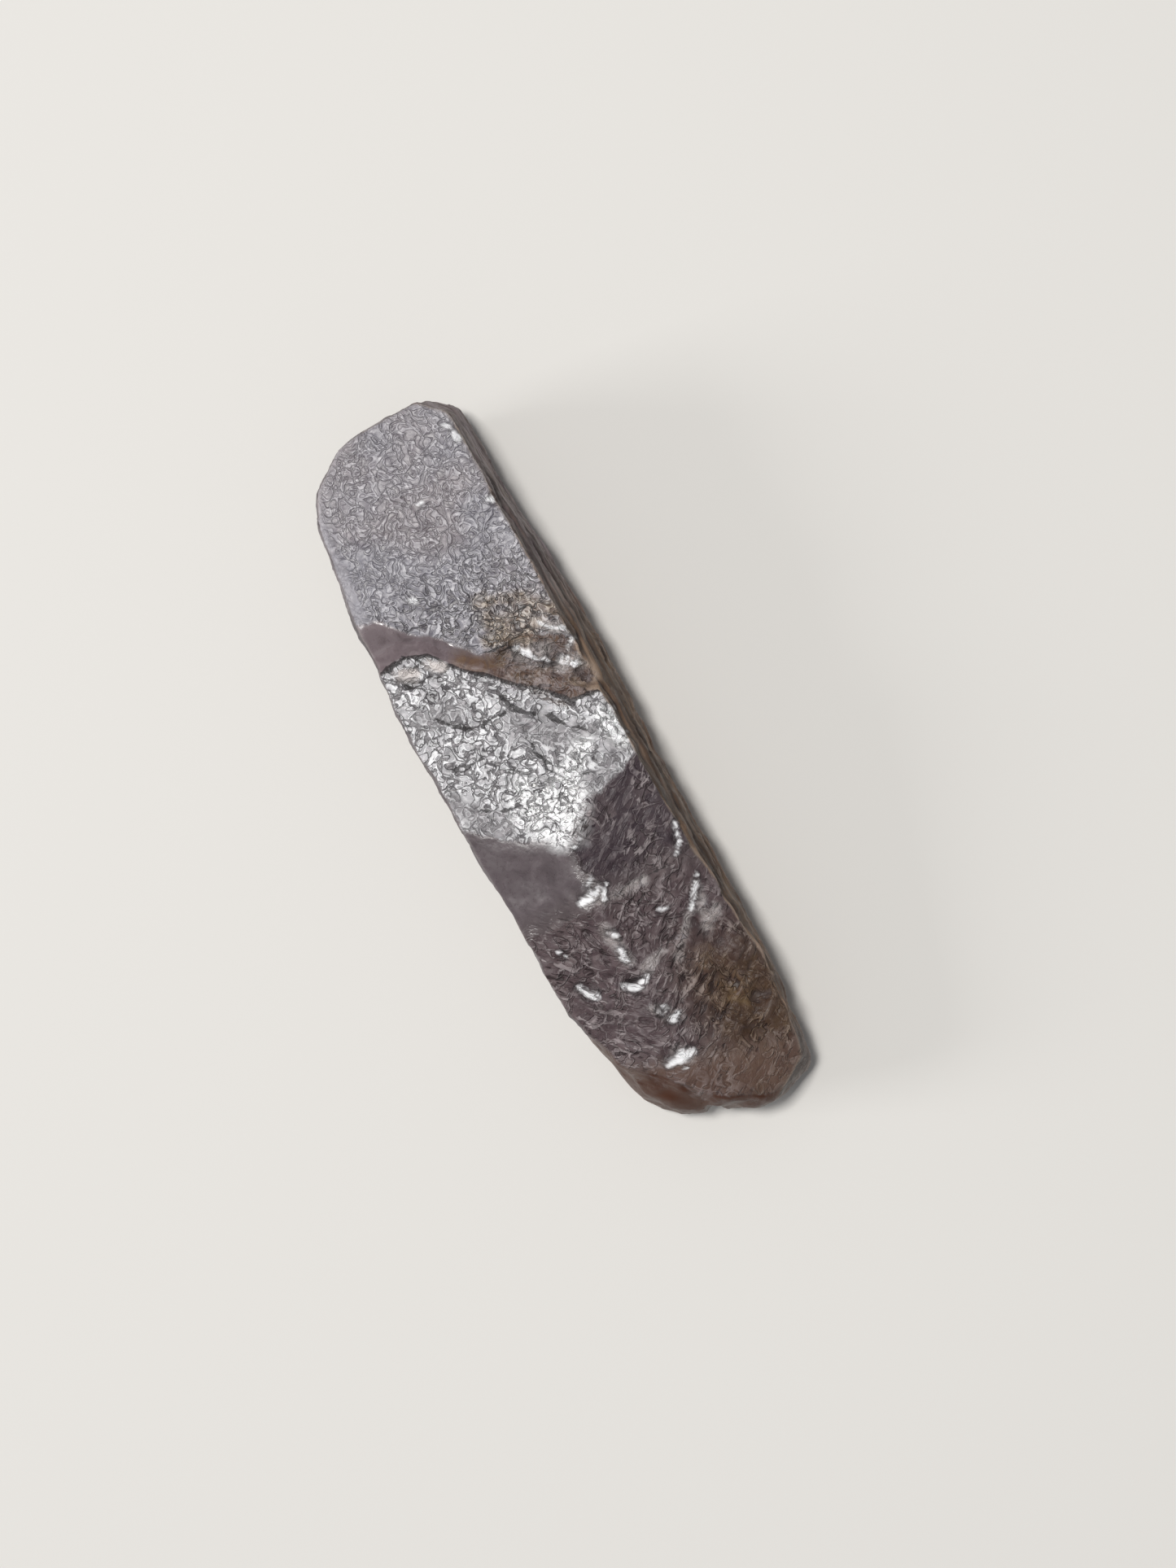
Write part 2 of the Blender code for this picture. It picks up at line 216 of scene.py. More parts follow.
BASE_RIDGE = (
    (-3.0, -11.2), (-0.5, -10.1), (0.35, -9.6), (0.7, -9.1), (1.2, -8.6),
    (1.85, -8.1), (2.1, -7.4), (3.0, -6.9),
)


def past(border, sharpness=0.06, ragged=1.0):
    """1 on the rounded end's side of a border and 0 on the base's side."""
    line = np.interp(across, *zip(*border))
    return ramp(along - line + ragged * fray, -sharpness, sharpness)


up = ramp(broad_facing[:, 2], 0.50, 0.80)
down = ramp(-broad_facing[:, 2], 0.85, 0.99)
side = 1 - up - down

upper = up * past(UPPER_FACE_FOOT)
hollow = up * (1 - past(UPPER_FACE_FOOT)) * past(GROOVE_FOOT, 0.04, 0.5)
groove = hollow * ramp(across, -0.3, 0.5)
broken = hollow - groove
broad = up * (1 - past(GROOVE_FOOT, 0.04, 0.5)) * past(BROAD_FACE_FOOT)
roof = up * (1 - past(BROAD_FACE_FOOT))
lumpy = roof * ramp(-along, 2.9, 4.2)
roof_left = (roof - lumpy) * ramp(across, 0.35, 0.75)
roof_right = roof - lumpy - roof_left
lobe = (1 - down) * (1 - past(BASE_RIDGE, 0.05 + 0.6 * side, 0.6 + 3 * side)) * ramp(-along, 6.5, 7.2)
smooth_base = (1 - down) * (1 - lobe) * ramp(-along + 0.25 * across + 2 * fray, 8.2, 9.0)
lumpy = lumpy * (1 - lobe) * (1 - smooth_base)
side = side * (1 - smooth_base)


def percent(mask):
    """How much of the stone a mask takes in, as text."""
    return f"{100 * (mask > 0.5).mean():.0f} %"


for name, share in {"upper": upper, "groove": groove, "broken": broken, "broad": broad}.items():
    print("The", name, "surface:", percent(share), "of the points")

# %% [markdown]
# ## Ledges and pits on the broad face
#
# The broad face was dissolved layer by layer, which leaves ledges with a dark shadow line,
# and a few pits. Each ledge is a line of corners in plan, along then across. The skin
# sinks on one side of the line and comes back up over a millimetre or so.

# %% Distance from a line, and the ledges
def beside(line):
    """How far each point is from a line in plan, and 1 or -1 for its left or right side."""
    nearest = np.full(COUNT, 1e3)
    hand = np.zeros(COUNT)
    for (x0, y0), (x1, y1) in zip(line, line[1:]):
        dx, dy = x1 - x0, y1 - y0
        share = np.clip(((along - x0) * dx + (across - y0) * dy) / (dx * dx + dy * dy), 0, 1)
        away_x, away_y = along - x0 - share * dx, across - y0 - share * dy
        distance = np.hypot(away_x, away_y)
        closer = distance < nearest
        hand = np.where(closer, np.sign(dx * away_y - dy * away_x), hand)
        nearest = np.minimum(nearest, distance)
    return nearest, hand


# Each ledge: its depth, how far the sunken side reaches, and its line. The side on the
# left of the line's direction sinks.
LEDGES = (
    (0.10, 0.9, ((2.75, 2.25), (2.35, 1.95), (2.15, 1.60), (2.05, 1.20), (2.10, 0.90), (2.12, 0.55))),
    (0.07, 0.7, ((2.45, 0.35), (2.00, 0.15), (1.70, -0.20), (1.45, -0.55), (1.00, -0.90), (0.70, -1.30))),
    (0.06, 0.6, ((1.20, 0.25), (0.80, 0.20), (0.30, 0.10), (0.00, -0.15))),
    (0.05, 0.5, ((1.35, 2.55), (1.20, 2.10), (1.25, 1.60))),
    (0.06, 0.6, ((0.55, 1.00), (0.20, 0.55), (-0.10, 0.25), (-0.20, -0.30), (-0.35, -0.80))),
    (0.05, 0.5, ((-0.10, 2.10), (-0.30, 1.70), (-0.35, 1.20), (-0.55, 0.80))),
    (0.06, 0.5, ((3.95, 2.55), (3.60, 2.15), (3.75, 1.80), (3.90, 1.40))),
)
# Each pit: its middle, along and across, how far it reaches, and its depth.
PITS = (
    (3.41, 2.07, 0.16, 0.14), (1.78, -0.52, 0.10, 0.06),
    (1.12, 0.62, 0.10, 0.06), (-0.60, 1.05, 0.22, 0.08),
)

ledge_drop = np.zeros(COUNT)
shadow_line = np.zeros(COUNT)
for depth, reach, line in LEDGES:
    away, hand = beside(line)
    away = away + 1.1 * fray
    sunk = ramp(hand * away, -0.02, 0.05) * np.exp(-np.clip(away, 0, None) / reach * 1.6)
    ledge_drop += depth * sunk
    shadow_line = np.maximum(shadow_line, 1 - ramp(np.abs(away - 0.02), 0.0, 0.11))
for x, y, reach, depth in PITS:
    away = np.hypot(along - x, across - y) + fray * 1.2
    ledge_drop += depth * (1 - ramp(away, 0, reach))
print("Deepest ledge or pit", ledge_drop.max().round(3), "mm")

# %% [markdown]
# ## Carving the skin
#
# Each kind of surface gets its own relief, in millimetres along the outward direction.
# Nearly all of it goes inwards, as etching and chipping take stone away, so the stone
# keeps the size of the solid. In the sums below, the numbers before the patterns are
# depths in millimetres.

# %% Relief of each surface
coarse_blocks = blocks(points + 0.25 * swell(points, 0.8, 31)[:, None], 0.95, 1)
fine_blocks = blocks(points + 0.12 * swell(points, 0.4, 32)[:, None], 0.38, 2)
etching = worms(points, 0.34, 3, 0.22)
fine_etching = worms(points, 0.21, 4, 0.25)
rolling = swell(points, 1.3, 5)
scars = 1 - 2 * np.abs(swell(points + 0.5 * swell(points, 0.9, 33)[:, None], 0.75, 34))

frost_relief = 0.036 * etching + 0.024 * fine_etching + 0.020 * fine_blocks + 0.02 * rolling - 0.06
toward_groove = ramp(-along, -7.0, -4.4)
upper_relief = frost_relief * (0.75 + 0.9 * toward_groove)
broad_relief = 0.055 * etching + 0.03 * fine_etching + 0.05 * coarse_blocks + 0.05 * fine_blocks
broad_relief = broad_relief - 0.10 - ledge_drop
broken_relief = 0.10 * coarse_blocks + 0.06 * fine_blocks + 0.03 * fine_etching - 0.10
groove_relief = 0.012 * swell(points * (0.5, 1, 1), 0.5, 6) - 0.01
# Strokes on the two roof faces run up and outwards from the middle ridge, like a V.
outward = np.abs(across - 0.4)
stroke_level = along - 0.8 * outward
stroke_run = outward + 0.8 * along
ridges = swell(np.stack([stroke_level / 0.22, stroke_run / 0.75, across / 1.5], axis=1), 1.0, 7)
roof_right_relief = 0.028 * ridges + 0.010 * fine_etching + 0.015 * coarse_blocks - 0.03
roof_left_relief = 0.012 * swell(points, 0.7, 8) - 0.01
lumpy_relief = 0.05 * scars + 0.05 * coarse_blocks + 0.03 * fine_blocks + 0.045 * ridges
lumpy_relief = lumpy_relief + 0.01 * fine_etching - 0.10
lobe_relief = 0.03 * swell(points, 0.9, 9) + 0.02 * coarse_blocks - 0.03
layer_places = np.stack([along / 6, across * 0, height + 0.10 * swell(points, 1.4, 10)], axis=1)
growth = swell(layer_places, 0.17, 13)
side_relief = 0.075 * growth + 0.030 * coarse_blocks + 0.012 * fine_etching - 0.07
down_relief = -0.02 * ramp(etching, 0.2, 1.0) - 0.03 * ramp(coarse_blocks, 0.2, 1.0)

relief = (
    upper * upper_relief + broad * broad_relief + groove * groove_relief + broken * broken_relief
    + roof_left * roof_left_relief + roof_right * roof_right_relief + lumpy * lumpy_relief
    + side * (1 - lobe) * side_relief + (lobe + smooth_base) * lobe_relief + down * down_relief
)
relief *= np.where(down > 0.5, 1, ramp(height, 0.02, 0.3))
carved = points + facing * relief[:, None]
carved[:, 2] = np.maximum(carved[:, 2], 0)
stone.data.vertices.foreach_set("co", (carved * MM).ravel())
stone.data.update()
print("Relief from", relief.min().round(3), "to", relief.max().round(3), "mm")

# %% [markdown]
# ## Hollows and crests
#
# The hollows are painted darker and the crests lighter. A copy of the surface that
# has been evened out many times tells which points lie below their surroundings and
# which stand above them.

# %% How far each point stands above its surroundings
new_facing = facing_of(stone.data)
EVENING_ROUNDS = 14
even = np.stack([averaged(carved[:, axis], EVENING_ROUNDS) for axis in range(3)], axis=1)
standing = np.sum((carved - even) * new_facing, axis=1)
hollows = ramp(-standing, 0.008, 0.045)
edges = ramp(standing, 0.008, 0.045) * (0.15 + 0.85 * (upper + broad))
print("Hollows:", percent(hollows), "of the points, lighter crests:", percent(edges))

# %% [markdown]
# ## Stains, polish, and painted glints and highlights
#
# Iron-stained water ran into the break and along the right side, so those are rusty. The
# glints where small chips flash in the light are painted white. Each of these is one number
# per point, kept in the mesh as an attribute that the material reads by name.

# %% White marks: painted glints and highlights, and paler stone
# Each mark, here and below: half its width in mm, and its line of corners in plan, along
# then across. The glints are painted white highlights on small chips, the polished places
# are smoother and carry a painted highlight, and the patches are paler stone, or a painted
# pale halo around glints.
PAINTED_GLINTS = (
    (0.09, ((-3.50, 0.92), (-3.44, 0.56))),
    (0.05, ((-3.10, 0.52), (-2.96, 0.36))),
    (0.04, ((-3.62, 0.30), (-3.30, 0.06))),
    (0.03, ((-3.45, 0.42), (-3.22, 0.24))),
    (0.04, ((-2.06, 0.42), (-1.90, 0.16))),
    (0.07, ((-2.66, -2.34), (-3.00, -2.26))),
    (0.06, ((-3.12, -2.24), (-3.42, -2.02))),
    (0.06, ((-4.16, -2.30), (-4.60, -1.96), (-4.95, -1.72))),
    (0.09, ((-4.60, 0.50), (-4.66, 0.46))),
    (0.05, ((-4.56, -0.92), (-4.64, -1.12))),
    (0.06, ((-5.58, 1.95), (-5.80, 1.86), (-5.98, 1.62))),
    (0.06, ((-6.03, 0.86), (-6.17, 0.66), (-6.20, 0.50), (-6.10, 0.28), (-6.02, 0.20))),
    (0.08, ((-7.00, 0.28), (-7.04, 0.10))),
    (0.05, ((-7.28, -0.20), (-7.44, 0.06))),
    (0.10, ((-8.54, 0.74), (-8.50, -0.02))),
    (0.05, ((-8.78, 0.40), (-8.82, 0.28))),
    (0.05, ((-5.05, 0.56), (-5.20, 0.48), (-5.32, 0.56), (-5.42, 0.50))),
    (0.05, ((-4.42, 2.06), (-4.60, 1.94))),
    (0.07, ((3.50, -0.56), (3.30, -0.64))),
    (0.08, ((3.25, -0.80), (3.02, -0.90))),
    (0.06, ((2.96, -1.02), (2.83, -1.20))),
    (0.10, ((2.72, -1.60), (2.46, -1.74), (2.36, -1.92))),
    (0.05, ((2.86, -1.74), (3.10, -2.16))),
    (0.05, ((3.86, -1.40), (3.62, -1.62), (3.42, -1.98))),
    (0.08, ((9.46, -1.62), (9.30, -1.66))),
    (0.05, ((9.80, -1.50), (9.70, -1.56))),
    (0.06, ((7.44, -1.64), (7.41, -1.78))),
    (0.05, ((8.18, 0.10), (8.16, 0.02))),
    (0.05, ((5.92, 1.42), (5.86, 1.36))),
    (0.09, ((0.95, -2.16), (0.62, -2.10), (0.20, -2.22))),
    (0.08, ((0.62, -1.86), (0.10, -1.98))),
)
# The polished places are smoother, and each also gets a painted white highlight.
POLISHED_HIGHLIGHTS = (
    (0.62, ((-0.30, 0.95), (-0.95, 0.70), (-1.35, 0.40), (-0.80, 0.10))),
    (0.26, ((-0.30, -0.25), (0.05, -0.65), (0.35, -1.05))),
    (0.30, ((0.85, -2.05), (0.10, -2.15))),
)
PALE_PATCHES = (
    (0.27, ((3.38, -0.68), (3.00, -1.08))),
    (0.15, ((3.90, -1.32), (3.35, -2.08))),
    (0.20, ((2.60, -1.55), (2.40, -2.00))),
    (0.10, ((2.86, -1.75), (3.02, -2.15))),
    (0.16, ((4.30, 2.65), (4.12, 2.25))),
    (0.12, ((4.18, 1.78), (3.95, 1.50))),
    # The patches from (-2.90, 0.50) to (-8.30, 0.30) lie around glints: there they are a painted pale
    # halo of those glints.
    (0.18, ((-2.90, 0.50), (-3.60, 0.40))),
    (0.15, ((-4.50, 0.60), (-5.50, 0.45))),
    (0.16, ((-6.90, 0.40), (-7.40, -0.15))),
    (0.18, ((-8.30, 0.30), (-8.60, 0.10))),
    (0.12, ((-3.70, -0.05), (-3.66, -0.90))),
    (0.13, ((-4.40, -2.10), (-5.60, -1.90), (-5.20, -2.35))),
    (0.14, ((-5.90, 0.15), (-5.62, -0.50))),
    (0.12, ((-5.95, -0.85), (-4.95, -1.70))),
)
print(len(PAINTED_GLINTS), "glints and", len(PALE_PATCHES), "pale patches")

# %% Grey, brown and rusty marks
GREY_PATCHES = (
    (0.42, ((1.60, 0.25), (0.95, -0.45), (0.55, -1.20))),
    (0.30, ((0.40, 2.80), (-0.45, 2.45), (-0.75, 1.90))),
    (0.30, ((-0.95, -0.35), (-0.55, -1.10), (-0.25, -1.80), (0.10, -2.50))),
    (0.22, ((2.90, 2.60), (2.60, 1.70))),
)
BROWN_BAND = (
    (0.32, ((3.70, 0.90), (3.15, 0.15), (2.50, -0.55), (2.05, -1.20), (1.85, -2.40))),
    (0.22, ((3.45, -1.25), (3.20, -1.75))),
)
OCHRE_PATCHES = (
    (0.34, ((4.40, -0.35), (4.15, -1.00), (4.30, -1.45))),
    (0.28, ((4.00, -0.10), (3.80, -0.70), (3.75, -1.15))),
    (0.18, ((5.05, -0.30), (4.75, -0.80), (4.70, -1.20))),
    (0.12, ((4.10, -1.90), (3.70, -2.15))),
)
RUST_LINES = (
    (0.16, ((4.05, 0.95), (3.55, 0.35), (3.20, 0.00))),
    (0.30, ((3.60, -0.10), (3.00, -0.30), (2.40, -0.85), (1.90, -1.50))),
    (0.22, ((3.95, 0.10), (3.75, -0.35), (3.85, -0.80))),
    (0.34, ((4.30, -0.75), (4.15, -1.15))),
    (0.20, ((4.80, -0.45), (4.30, -0.30))),
    (0.14, ((4.20, -1.60), (3.50, -2.20))),
    (0.20, ((3.55, -1.25), (3.20, -1.55))),
    (0.22, ((2.90, -0.60), (2.60, -1.20))),
    (0.25, ((-6.20, -1.45), (-6.55, -1.60))),
    (0.30, ((-7.20, -1.60), (-7.70, -1.90))),
)
print(len(RUST_LINES), "rust lines and", len(OCHRE_PATCHES), "ochre patches")

# %% Cracks painted as shadow lines, and how a mark is drawn
CRACK_SHADOWS = (
    (0.06, ((3.30, -1.34), (2.90, -1.30))),
    (0.06, ((3.66, -0.42), (3.30, -0.44), (3.00, -0.66), (2.74, -1.02), (2.66, -1.34))),
    (0.05, ((3.62, -0.62), (3.50, -0.95), (3.28, -1.16), (2.92, -1.28))),
    (0.04, ((3.78, 0.30), (3.70, -0.15), (3.74, -0.66), (3.92, -1.10), (3.62, -1.40), (3.30, -1.80))),
    (0.05, ((2.30, -0.72), (2.20, -0.96))),
    (0.04, ((4.42, -1.00), (4.40, -1.40), (4.10, -1.46))),
    (0.04, ((3.10, -1.85), (3.30, -2.25))),
    (0.05, ((1.55, -2.30), (1.58, -1.60))),
    (0.05, ((4.30, 2.95), (4.08, 2.50), (3.84, 2.16), (3.90, 1.92), (3.74, 1.68), (3.86, 1.38))),
    (0.04, ((4.50, 2.05), (4.15, 1.85), (3.98, 1.62))),
    (0.04, ((4.38, 2.55), (4.20, 2.30), (4.28, 2.10))),
    (0.04, ((-3.62, -0.30), (-3.56, -0.80), (-3.60, -1.60))),
    (0.05, ((-6.00, 0.86), (-6.02, 0.30))),
)


def strokes(lines, softness=0.35, ragged=0.5):
    """Marks drawn in plan: 1 inside and 0 outside. Ragged lets the fraying move their borders."""
    shade = np.zeros(COUNT)
    for half_width, line in lines:
        away = beside(line)[0] + ragged * min(half_width, 0.12) * 10 * fray
        inner = half_width * (1 - softness)
        outer = half_width * (1 + softness)
        shade = np.maximum(shade, 1 - ramp(away, inner, outer))
    return shade


print(len(CRACK_SHADOWS), "cracks")

# %% [markdown]
# ## From marks to masks
#
# A mask says how much of one finish each point has, from 0 to 1. Multiplying a mark by the
# share of a surface keeps it on that surface, so a bruise on the broad face can't run over
# its edge.

# %% Masks of the stains and of the etched places
rim = upper * ramp(broad_facing[:, 1], 0.10, 0.42)
grey = broad * strokes(GREY_PATCHES, 0.9, 2.0)
pale = up * strokes(PALE_PATCHES, 0.6, 0.8) * (1 - 0.55 * roof)
brown_band = hollow * strokes(BROWN_BAND, 0.5, 0.8)
ochre = up * strokes(OCHRE_PATCHES, 0.8, 1.6)
brown_base = (lumpy + 0.6 * smooth_base) * ramp(-across, -0.2, 1.6) * ramp(-along, 4.6, 7.5)
right_strip = side * ramp(-broad_facing[:, 1], 0.3, 0.8)
seeping = ramp(swell(points * (0.3, 1, 2.2), 0.6, 21) + 0.25, 0, 0.8)
stain = strokes(RUST_LINES, 0.8, 1.2) * (0.55 + 0.45 * hollows) + 0.25 * brown_base
stain += 0.7 * right_strip * seeping
etch_depth = upper * (0.42 + 0.58 * toward_groove) * (1 - 0.7 * rim) + broad + 0.5 * down
etch_depth += 0.9 * pale + 0.3 * ochre + 0.3 * broken - 0.6 * grey
print("Stained:", percent(stain), "of the points, etched:", percent(etch_depth))

# %% Masks of the sides
# A face's sideways lean picks out the rounded rim of the right side, which gets a painted
# highlight, and the band below it, which gets painted shade.
RIM_LEAN = 0.66
SHADE_LEAN = 0.28
rightward = -broad_facing[:, 1]
leaning = broad_facing[:, 2]
turning = ramp(rightward, 0.15, 0.35)
right_rim_highlight = turning * (1 - 0.9 * roof) * np.exp(-((leaning - RIM_LEAN) / 0.16) ** 2)
right_shade = turning * np.exp(-((leaning - SHADE_LEAN) / 0.13) ** 2)
side_face = side * (1 - lobe)
left_side = side_face * ramp(-rightward, -0.50, 0.10)
right_top = side_face * ramp(rightward, -0.10, 0.50) * ramp(along, 2.5, 6.0)
print("Sides:", percent(side_face), "of the points, the left one:", percent(left_side))

# %% Masks of the painted glints and of the shadow lines
# Each painted glint has a painted dark rim. Shadow lines follow the cracks, the foot of
# the groove and the foot of the upper face.
RIM_WIDTH = 0.08
polish_and_highlight = up * strokes(POLISHED_HIGHLIGHTS, 0.5, 1.0)
glint = (1 - down) * strokes(PAINTED_GLINTS, 0.45, 1.0) * ramp(fine_blocks, -0.75, -0.35)
wider_glints = [(half_width + RIM_WIDTH, line) for half_width, line in PAINTED_GLINTS]
around_glints = (1 - down) * strokes(wider_glints, 0.3, 1.0)
glint_rim = np.clip(around_glints - 1.5 * glint, 0, 1) * (1 - 0.5 * upper)
above_foot = along - np.interp(across, *zip(*GROOVE_FOOT)) + 0.5 * fray
below_face = np.interp(across, *zip(*UPPER_FACE_FOOT)) - along - fray
foot_shadow = up * (1 - ramp(np.abs(above_foot), 0.02, 0.13)) * 0.95
face_shadow = groove * (1 - ramp(np.abs(below_face), 0.02, 0.10)) * 0.75
shadow_line = np.maximum(shadow_line * broad, up * strokes(CRACK_SHADOWS, 0.5, 0.4))
shadow_line = np.maximum(shadow_line, np.maximum(foot_shadow, face_shadow))
print("Shadow lines:", percent(shadow_line), "of the points, glints:", percent(glint))

# %% Masks of the scars and of the gloss
FROSTED = 0.46
below_broad = np.interp(across, *zip(*BROAD_FACE_FOOT)) - along
wall_gloss = groove * ramp(above_foot, 0.30, 0.60) + roof_left * ramp(below_broad, 0.15, 0.5)
gloss = np.clip(wall_gloss + lobe, 0, 1)
roughness = FROSTED - 0.16 * gloss + 0.12 * lobe - 0.20 * polish_and_highlight + 0.15 * grey
scarred = np.clip(lumpy + roof_right + 0.6 * (broken + smooth_base), 0, 1)
print("Roughness from", roughness.min().round(2), "to", roughness.max().round(2))

# %% Keep the masks in the mesh
masks = {
    "whole_stone": np.ones(COUNT), "side_face": side_face, "left_side": left_side,
    "back_face": down, "right_top": right_top, "grey_side": np.maximum(left_side, right_top),
    "upper_face": upper, "broad_face": broad, "grey_patch": grey, "groove_wall": groove,
    "broken_stone": broken, "roof_left": roof_left, "roof_right": roof_right,
    "lumpy_base": lumpy, "brown_base": brown_base, "smooth_base": smooth_base,
    "base_lobe": lobe, "soft_rim": rim, "brown_band": brown_band, "iron_stain": stain,
    "etch_depth": etch_depth, "right_rim_highlight": right_rim_highlight, "right_shade": right_shade,
    "darker_hollows": hollows * (0.55 - 0.20 * broad), "lighter_crests": edges, "shadow_line": shadow_line,
    "pale_patch": pale, "ochre": ochre, "polish_and_highlight": polish_and_highlight, "scarred": scarred,
    "glint_rim": glint_rim, "frost_glint": glint * upper,
    "cut_glint": glint * (1 - upper), "roughness": roughness,
    "grain_depth": 0.8 - 0.68 * gloss,
}
for name, values in masks.items():
    kept = stone.data.attributes.new(name, "FLOAT", "POINT")
    kept.data.foreach_set("value", np.clip(values, 0, 1).astype(np.float32))
stroke_places = np.stack([stroke_level / 0.17, stroke_run / 0.55, across / 1.5], axis=1)
kept = stone.data.attributes.new("stroke_place", "FLOAT_VECTOR", "POINT")
kept.data.foreach_set("vector", stroke_places.astype(np.float32).ravel())
print(len(masks), "masks are kept in the mesh")

# %% [markdown]
# ## The material: etched sapphire
#
# Sapphire is corundum, aluminium oxide: hard, slightly translucent here, with a refractive
# index of 1.77. Etching in the ground has frosted it, so it scatters light like ground
# glass, while the smooth walls keep a soft gloss. The colours below are sRGB hex values as
# seen by eye, and one function turns them to the linear values that Blender mixes.

# %% Colour and node helpers
def linear(code):
    """An sRGB hex colour as linear red, green, blue and alpha."""
    parts = [int(code[start:start + 2], 16) / 255 for start in (1, 3, 5)]
    return (*(part / 12.92 if part <= 0.04045 else ((part + 0.055) / 1.055) ** 2.4 for part in parts), 1)


def add_node(tree, kind, inputs, **settings):
    """Adds a node. An input is a plain value, or the output socket that feeds it."""
    node = tree.nodes.new(kind)
    for name, value in settings.items():
        setattr(node, name, value)
    for name, value in inputs.items():
        if isinstance(value, bpy.types.NodeSocket):
            tree.links.new(value, node.inputs[name])
        else:
            node.inputs[name].default_value = value
    return node


print("Lavender frost is", [round(part, 3) for part in linear("#97929A")])

# %% Begin the material and read the masks
sapphire = bpy.data.materials.new("etched_sapphire")
sapphire.use_nodes = True
tree = sapphire.node_tree
surface = tree.nodes["Principled BSDF"]
on = {}
for name in masks:
    reader = add_node(tree, "ShaderNodeAttribute", {}, attribute_name=name)
    on[name] = reader.outputs["Fac"]
stroke_reader = add_node(tree, "ShaderNodeAttribute", {}, attribute_name="stroke_place")
print("The material reads", len(on), "masks")

# %% [markdown]
# ## Patterns
#
# Every pattern is a noise whose size is a length on the real stone. The etching's curls
# are about half a millimetre long and a tenth wide. The grain is really a few hundredths
# of a millimetre and is drawn coarser, so that it shows. The growth layers are the same
# noise, drawn out along the stone. Thin lines come where a noise passes through one level,
# as a contour line does on a map, so they wind and close like etched curls.

# %% Places in millimetres, plain and drawn out
object_place = add_node(tree, "ShaderNodeTexCoord", {}).outputs["Object"]
inputs = {0: object_place, "Scale": 1 / MM}
in_mm = add_node(tree, "ShaderNodeVectorMath", inputs, operation="SCALE").outputs[0]
drawn_out = {}
for name, factors in {"broad": (0.12, 1.0, 0.75), "fine": (0.08, 1.0, 1.0)}.items():
    inputs = {0: in_mm, 1: factors}
    drawn_out[name] = add_node(tree, "ShaderNodeVectorMath", inputs, operation="MULTIPLY").outputs[0]
print("Growth layers are read at", len(drawn_out), "drawn out places")

# %% Noise patterns
# Each noise: the place it is read at, its size in mm, its detail and its distortion.
NOISES = {
    "curls": (in_mm, 0.48, 1.0, 1.0),
    "crossing_curls": (in_mm, 0.36, 1.0, 0.8),
    "clouds": (in_mm, 1.4, 4.0, 0.0),
    "tints": (in_mm, 2.4, 1.0, 0.0),
    "grain": (in_mm, 0.12, 3.0, 0.0),
    "stains": (in_mm, 0.5, 4.0, 0.0),
    "rust": (in_mm, 0.3, 3.0, 0.0),
    "wall_streaks": (in_mm, 0.45, 3.0, 0.6),
    "ragged": (in_mm, 0.16, 2.0, 0.5),
    "sparkles": (in_mm, 0.26, 2.0, 1.3),
    "scratches": (in_mm, 0.85, 2.0, 1.6),
    "zones": (in_mm, 0.95, 2.0, 0.0),
    "broad_layers": (drawn_out["broad"], 0.55, 3.0, 0.5),
    "fine_layers": (drawn_out["fine"], 0.22, 2.0, 0.3),
    "strokes": (stroke_reader.outputs["Vector"], 1.0, 2.0, 0.5),
}
patterns = {"even": on["whole_stone"]}
for name, (place, size, detail, distortion) in NOISES.items():
    inputs = {"Vector": place, "Scale": 1 / size, "Detail": detail, "Distortion": distortion}
    patterns[name] = add_node(tree, "ShaderNodeTexNoise", inputs).outputs["Fac"]
print(len(NOISES), "noise patterns")

# %% Line patterns
# Each pattern: the strengths at which its lines begin to show and are full, then its lines.
# Each line: the noise it follows, the level where it lies, and half its width in noise units.
LINES = {
    "dark_curls": (0.05, 0.50, (("curls", 0.50, 0.036), ("crossing_curls", 0.53, 0.030))),
    "light_curls": (
        0.10, 0.70, (("curls", 0.562, 0.036), ("crossing_curls", 0.463, 0.040), ("curls", 0.42, 0.05))
    ),
    "layer_lines": (0.0, 1.0, (("broad_layers", 0.50, 0.040), ("fine_layers", 0.50, 0.035))),
    "sparkle_gaps": (0.0, 1.0, (("sparkles", 0.47, 0.035),)),
    "pale_scratches": (0.0, 1.0, (("scratches", 0.55, 0.035),)),
    "dark_scratches": (0.0, 1.0, (("scratches", 0.50, 0.022),)),
}
for name, (begins, full, drawn) in LINES.items():
    together = 0.0
    for source, level, half_width in drawn:
        inputs = {0: patterns[source], 1: level}
        off = add_node(tree, "ShaderNodeMath", inputs, operation="SUBTRACT").outputs[0]
        away = add_node(tree, "ShaderNodeMath", {0: off}, operation="ABSOLUTE").outputs[0]
        inputs = {"Value": away, "From Max": half_width, "To Min": 1.0, "To Max": 0.0}
        line = add_node(tree, "ShaderNodeMapRange", inputs).outputs[0]
        inputs = {0: together, 1: line}
        together = add_node(tree, "ShaderNodeMath", inputs, operation="MAXIMUM").outputs[0]
    inputs = {"Value": together, "From Min": begins, "From Max": full}
    patterns[name] = add_node(tree, "ShaderNodeMapRange", inputs).outputs[0]
print(len(LINES), "line patterns")

